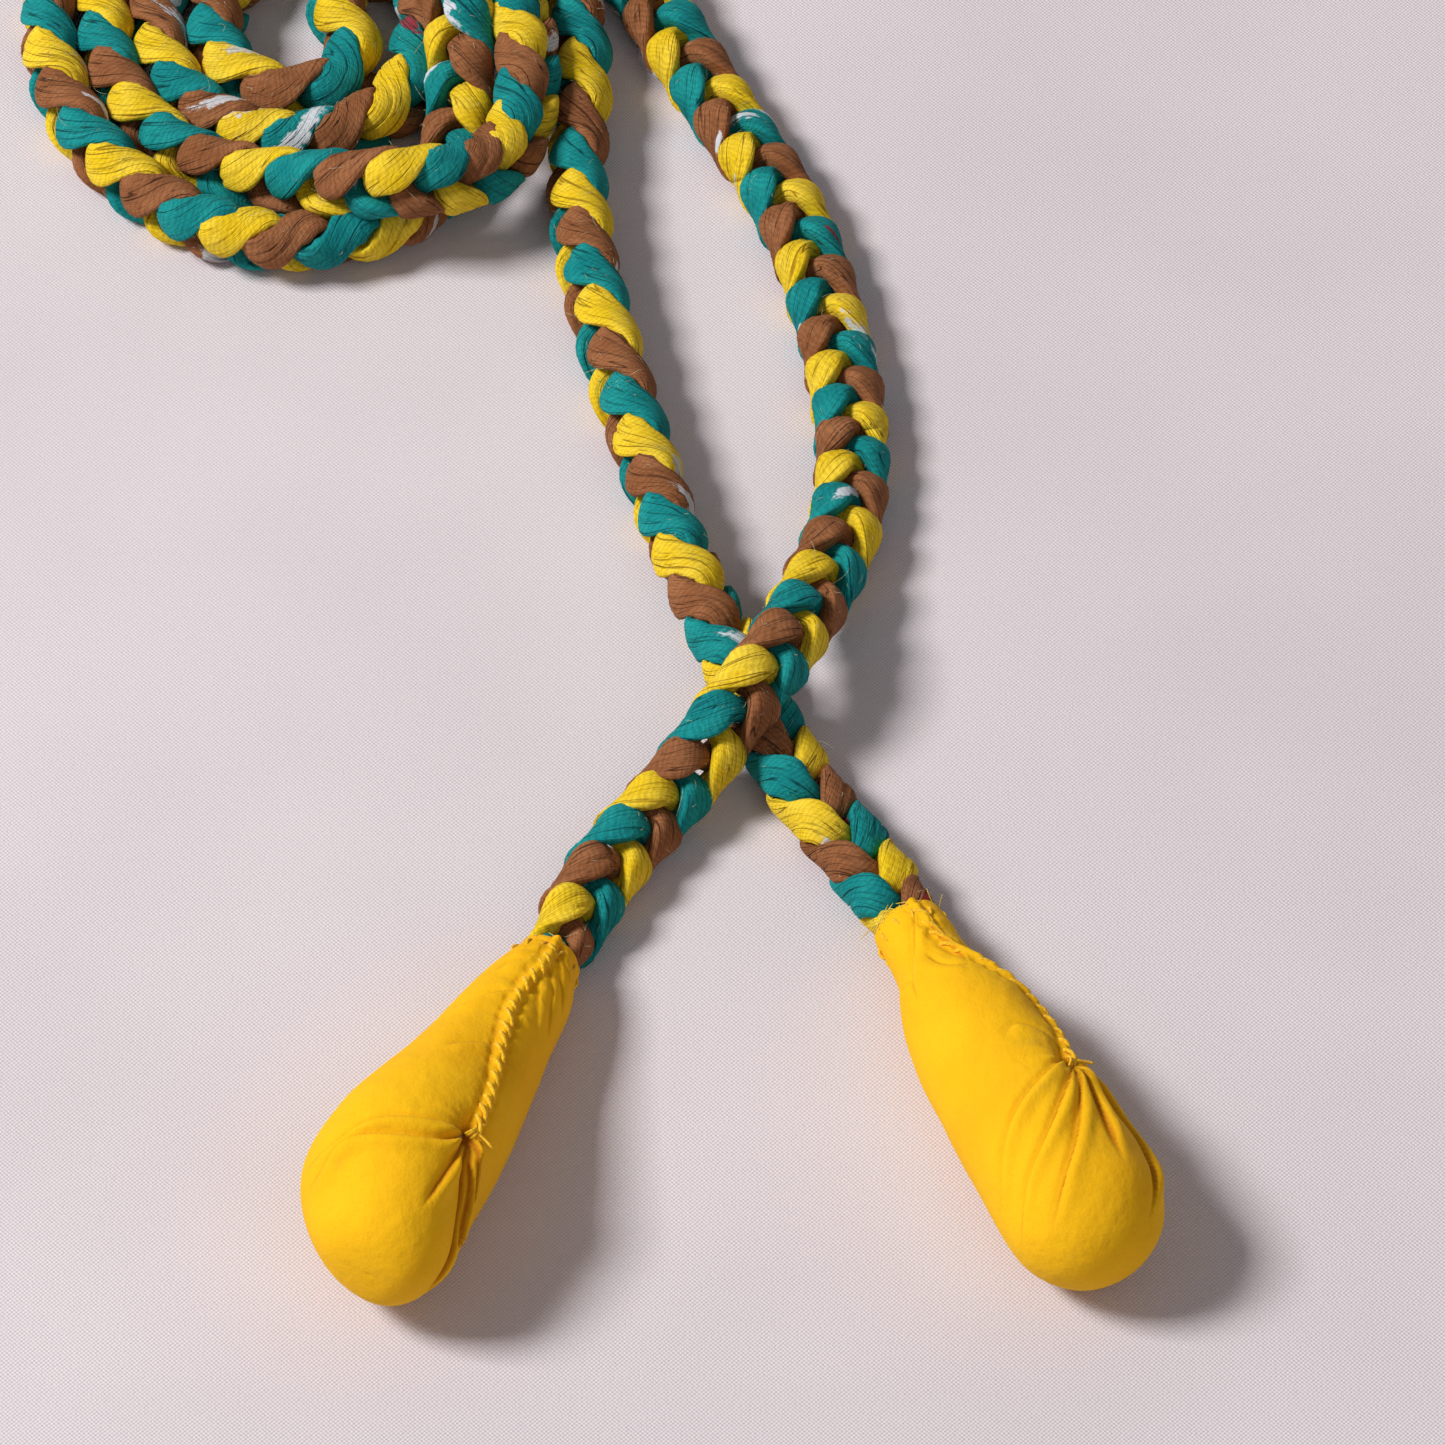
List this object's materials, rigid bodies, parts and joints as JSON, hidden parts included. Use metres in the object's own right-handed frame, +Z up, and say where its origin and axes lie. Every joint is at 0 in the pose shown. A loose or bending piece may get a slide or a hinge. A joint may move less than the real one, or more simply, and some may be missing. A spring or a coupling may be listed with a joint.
{
  "type": "jump rope",
  "caption": "Jump rope plaited from three cloth strands, coiled with both ends crossed, each end sewn into a stuffed, club-shaped cloth handle.",
  "frame": {"origin": "middle of the flat under the left handle's bulb, on the table", "axes": "+Z up from the table, +Y from the handles towards the coil, +X from the left handle towards the right handle"},
  "size_m": [0.2897, 0.4915, 0.0443],
  "materials": {
    "yellow_cloth": "soft crinkled cotton",
    "teal_cloth": "soft crinkled cotton",
    "brown_cloth": "soft crinkled cotton",
    "handle_cloth": "smooth plain-weave cotton",
    "rag_filling": "packed cotton rags",
    "sewing_thread": "matt cotton thread"
  },
  "bodies": {
    "coil": {"coil_yellow_strand": "yellow_cloth", "coil_teal_strand": "teal_cloth", "coil_brown_strand": "brown_cloth"},
    "left_leg_upper": {"left_leg_upper_yellow_strand": "yellow_cloth", "left_leg_upper_teal_strand": "teal_cloth", "left_leg_upper_brown_strand": "brown_cloth"},
    "left_leg_middle": {"left_leg_middle_yellow_strand": "yellow_cloth", "left_leg_middle_teal_strand": "teal_cloth", "left_leg_middle_brown_strand": "brown_cloth"},
    "left_leg_arch": {"left_leg_arch_yellow_strand": "yellow_cloth", "left_leg_arch_teal_strand": "teal_cloth", "left_leg_arch_brown_strand": "brown_cloth"},
    "left_leg_end": {"left_leg_end_yellow_strand": "yellow_cloth", "left_leg_end_teal_strand": "teal_cloth", "left_leg_end_brown_strand": "brown_cloth"},
    "left_handle": {"left_handle_cover": "handle_cloth", "left_handle_stuffing": "rag_filling", "left_mouth_hem": "handle_cloth", "left_tail_whipping": "sewing_thread", "left_seam_stitches": "sewing_thread", "left_mouth_stitches": "sewing_thread", "left_gather_knot": "sewing_thread", "left_tail_yellow_strand": "yellow_cloth", "left_tail_teal_strand": "teal_cloth", "left_tail_brown_strand": "brown_cloth"},
    "right_leg_end": {"right_leg_end_yellow_strand": "yellow_cloth", "right_leg_end_teal_strand": "teal_cloth", "right_leg_end_brown_strand": "brown_cloth"},
    "right_handle": {"right_handle_cover": "handle_cloth", "right_handle_stuffing": "rag_filling", "right_mouth_hem": "handle_cloth", "right_tail_whipping": "sewing_thread", "right_seam_stitches": "sewing_thread", "right_mouth_stitches": "sewing_thread", "right_gather_knot": "sewing_thread", "right_tail_yellow_strand": "yellow_cloth", "right_tail_teal_strand": "teal_cloth", "right_tail_brown_strand": "brown_cloth"}
  },
  "joints": [
    {"name": "left_leg_lift", "type": "hinge", "parent": "coil", "child": "left_leg_upper", "pos_m": [0.06613, 0.37688, 0.01373], "axis": [-0.9008, -0.4343, 0], "range_deg": [0, 22]},
    {"name": "left_leg_lift_middle", "type": "hinge", "parent": "left_leg_upper", "child": "left_leg_middle", "pos_m": [0.10325, 0.28993, 0.013], "axis": [-0.9768, -0.2141, 0], "range_deg": [0, 22]},
    {"name": "left_leg_lift_arch", "type": "hinge", "parent": "left_leg_middle", "child": "left_leg_arch", "pos_m": [0.10389, 0.19631, 0.01825], "axis": [-0.9571, 0.2897, 0], "range_deg": [0, 22]},
    {"name": "left_end_swing", "type": "hinge", "parent": "left_leg_arch", "child": "left_leg_end", "pos_m": [0.05745, 0.11696, 0.00884], "axis": [0, 0, 1], "range_deg": [-20, 14]},
    {"name": "left_handle_tilt", "type": "hinge", "parent": "left_leg_end", "child": "left_handle", "pos_m": [0.0395, 0.0846, 0.0161], "axis": [-0.9076, 0.4198, 0], "range_deg": [0, 35]},
    {"name": "right_end_swing", "type": "hinge", "parent": "coil", "child": "right_leg_end", "pos_m": [0.09523, 0.13294, 0.00764], "axis": [0, 0, 1], "range_deg": [-14, 20]},
    {"name": "right_handle_tilt", "type": "hinge", "parent": "right_leg_end", "child": "right_handle", "pos_m": [0.11875, 0.0928, 0.0176], "axis": [-0.915, -0.4034, 0], "range_deg": [0, 35]}
  ],
  "couplings": [
    {"joint": "left_leg_lift_middle", "follows": "left_leg_lift", "ratio": 1},
    {"joint": "left_leg_lift_arch", "follows": "left_leg_lift", "ratio": 1}
  ]
}
